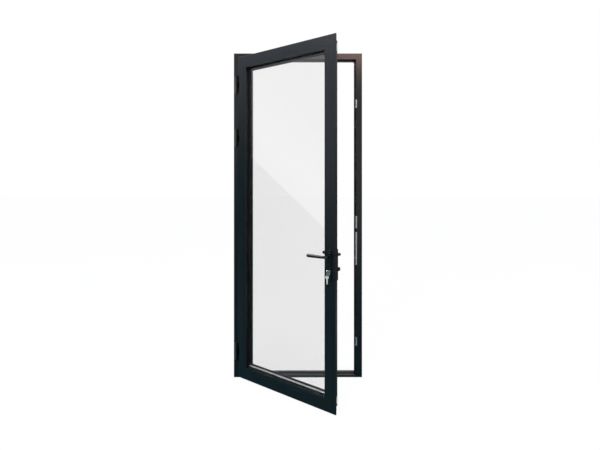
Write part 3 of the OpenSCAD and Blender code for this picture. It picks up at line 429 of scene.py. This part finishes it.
world = bpy.data.worlds.new("white_room")
bpy.context.scene.world = world
world.use_nodes = True
world.node_tree.nodes.clear()
room = Nodes(world.node_tree)
soft_light = {"Color": (0.93, 0.97, 1.0, 1), "Strength": 0.55}
room_light = room.node("ShaderNodeBackground", sockets=soft_light)
plain_white = {"Color": (1, 1, 1, 1), "Strength": 1.0}
white = room.node("ShaderNodeBackground", sockets=plain_white)
surround = mixed(room, seen_white(room), room_light, white)
room.node("ShaderNodeOutputWorld", sockets={"Surface": surround})


def board(name, corners, paint, shader):
    mesh = bpy.data.meshes.new(name)
    mesh.from_pydata(corners, [], [tuple(range(len(corners)))])
    mesh.materials.append(paint.material)
    paint.tree.links.new(shader.socket, paint.tree.nodes["Material Output"].inputs["Surface"])
    piece = bpy.data.objects.new(name, mesh)
    bpy.context.scene.collection.objects.link(piece)
    return piece


floor_paint = Finish("pale_floor", Base_Color=(0.8, 0.8, 0.8, 1), Roughness=0.9)
matt = Value(floor_paint, floor_paint.shader.outputs[0])
glow = floor_paint.node("ShaderNodeEmission", sockets={"Strength": 1.06})
floor_shade = mixed(floor_paint, 0.88 * seen_white(floor_paint), matt, glow)
floor_corners = [(-40, -40, 0), (40, -40, 0), (40, 40, 0), (-40, 40, 0)]
board("floor", floor_corners, floor_paint, floor_shade)


# Boards: five sheets beside, before and above the door, seen only in reflections. They stand for
# the darker floor and sides of a room and the warm light at its ceiling, which the coat and glass
# of such a door mirror. Their edges are soft, so that no hard patch shows on the glass.
def mirrored_board(name, corners, paint, colour, fade):
    """A board that only shows in a reflection, also in one seen through a pane."""
    bounced = (paint.node("ShaderNodeLightPath", out="Glossy Depth") > 0.5) * fade
    clear = paint.node("ShaderNodeBsdfTransparent")
    shine = paint.node("ShaderNodeEmission", sockets={"Color": colour})
    piece = board(name, corners, paint, mixed(paint, bounced, clear, shine))
    piece.visible_camera = False
    piece.visible_diffuse = False
    piece.visible_shadow = False


def in_pane(paint):
    """1 for a reflection that comes out of a pane, 0 for one off a bar or the glass's front."""
    return paint.node("ShaderNodeLightPath", out="Transmission Depth") > 0.5


def eased(paint, value, full, gone):
    """1 up to full, and down to 0 at gone."""
    limits = {"Value": value, "From Min": gone, "From Max": full}
    return paint.node("ShaderNodeMapRange", sockets=limits)


# The side board is dark below a slope and grows paler above it, so the glass shows a slanted edge.
# A bright strip along its top puts the highlight on the round levers. The panes see greys in it.
side_paint = Finish("side_board_paint")
y, z = side_paint.along("Y"), side_paint.along("Z")
steepness, slope_foot, strip_foot = 0.966, 2.075, 4.3
above = z - steepness * y - slope_foot
climb = {"Value": above, "From Max": 1.6, "To Min": 0.22, "To Max": 1.42}
paler = side_paint.node("ShaderNodeMapRange", sockets=climb)
grey = side_paint.blend(paler, (0, 0, 0, 1), (0.93, 1.0, 1.14, 1))
tone_on_bars = side_paint.blend(above > 0, (0.05, 0.225, 0.275, 1), grey)
higher = eased(side_paint, above, 1.3, 0.5)
pane_grey = side_paint.blend(higher, (1.08, 1.08, 1.08, 1), (0.6, 0.6, 0.6, 1))
tone_in_panes = side_paint.blend(above > 0, (0.12, 0.12, 0.12, 1), pane_grey)
side_tone = side_paint.blend(in_pane(side_paint), tone_on_bars, tone_in_panes)
side = side_paint.blend(z > strip_foot, side_tone, (18.0, 18.0, 18.4, 1))
middle_y = -0.85
side_ends = eased(side_paint, abs(y - middle_y), 1.7, 2.8)
side_patch = [(-3, -4, -1.3), (-3, 2, -1.3), (-3, 2, 5.2), (-3, -4, 5.2)]
mirrored_board("side_board", side_patch, side_paint, side, side_ends)

# The floor board is the dark floor before the door, a little above the pale one.
dark = Finish("floor_board_paint")
mottled = dark.blend(dark.grain(0.6, 2.0), (0.055, 0.23, 0.29, 1), (0.075, 0.27, 0.33, 1))
ground = dark.blend(in_pane(dark), mottled, (0.14, 0.13, 0.13, 1))
soft_edges = eased(dark, dark.along("X"), 0.8, 2.6) * eased(dark, dark.along("Y"), 0.0, 0.8)
floor_patch = [(-8, -8, 0.002), (2.6, -8, 0.002), (2.6, 1.0, 0.002), (-8, 1.0, 0.002)]
mirrored_board("floor_board", floor_patch, dark, ground, soft_edges)

# The front board darkens the hinge jamb, and the right board the lock edge and the rear lever.
low = Finish("front_board_paint")
shaded = low.blend(low.grain(0.8, 2.0), (0.05, 0.11, 0.12, 1), (0.07, 0.14, 0.15, 1))
middle_x = -1.8
off_middle = abs(low.along("X") - middle_x)
low_edges = eased(low, off_middle, 0.9, 1.6) * eased(low, low.along("Z"), 1.4, 2.2)
front_patch = [(-3.4, -3.5, 0), (-0.2, -3.5, 0), (-0.2, -3.5, 2.2), (-3.4, -3.5, 2.2)]
mirrored_board("front_board", front_patch, low, shaded, low_edges)

beside = Finish("right_board_paint")
shaded_side = beside.blend(beside.grain(0.8, 2.0), (0.08, 0.09, 0.10, 1), (0.12, 0.13, 0.14, 1))
middle_y = 0.1
off_middle = abs(beside.along("Y") - middle_y)
right_edges = eased(beside, off_middle, 0.8, 1.8) * eased(beside, beside.along("Z"), 1.6, 2.7)
right_patch = [(2.8, -1.7, 0), (2.8, 1.9, 0), (2.8, 1.9, 2.7), (2.8, -1.7, 2.7)]
mirrored_board("right_board", right_patch, beside, shaded_side, right_edges)

# The warm board is the light that tints the head at its right end.
warm = Finish("warm_board_paint")
peach = warm.blend(warm.grain(1.2, 2.0), (14.5, 9.2, 8.2, 1), (16.5, 10.4, 9.3, 1))
middle_x, middle_z = 0.55, 2.7
off_middle, off_level = abs(warm.along("X") - middle_x), abs(warm.along("Z") - middle_z)
soft_ends = eased(warm, off_middle, 0.2, 0.42) * eased(warm, off_level, 0.04, 0.12)
warm_patch = [(0.1, -1.05, 2.56), (1.0, -1.05, 2.56), (1.0, -1.05, 2.84), (0.1, -1.05, 2.84)]
mirrored_board("warm_board", warm_patch, warm, peach, soft_ends)


# Lights: a large soft lamp high at the front left and a weaker one at the right, as in a plain
# studio. Neither shows in the gloss.
def lamp(name, place, target, size, power):
    data = bpy.data.lights.new(name, "AREA")
    data.size = size
    data.energy = power
    piece = bpy.data.objects.new(name, data)
    bpy.context.scene.collection.objects.link(piece)
    piece.visible_glossy = False
    piece.location = place
    piece.rotation_euler = (Vector(target) - Vector(place)).to_track_quat("-Z", "Y").to_euler()


door_middle = (0, 0, 1.2)
lamp("front_lamp", (-2.2, -4.2, 4.2), door_middle, size=2.4, power=170)
lamp("right_lamp", (3.6, -2.6, 2.8), door_middle, size=2.0, power=60)


# Camera: level, square to the frame and a little above the lever, at the photograph's distance.
view = bpy.data.cameras.new("camera")
view.sensor_width = 36.0
view.lens = 27.3
view.shift_y = -0.0728
camera = bpy.data.objects.new("camera", view)
camera.location = (0.015, -3.4055, 1.452)
camera.rotation_euler = (math.radians(90), 0, 0)
bpy.context.scene.collection.objects.link(camera)
bpy.context.scene.camera = camera
bpy.context.scene.view_settings.view_transform = "Standard"
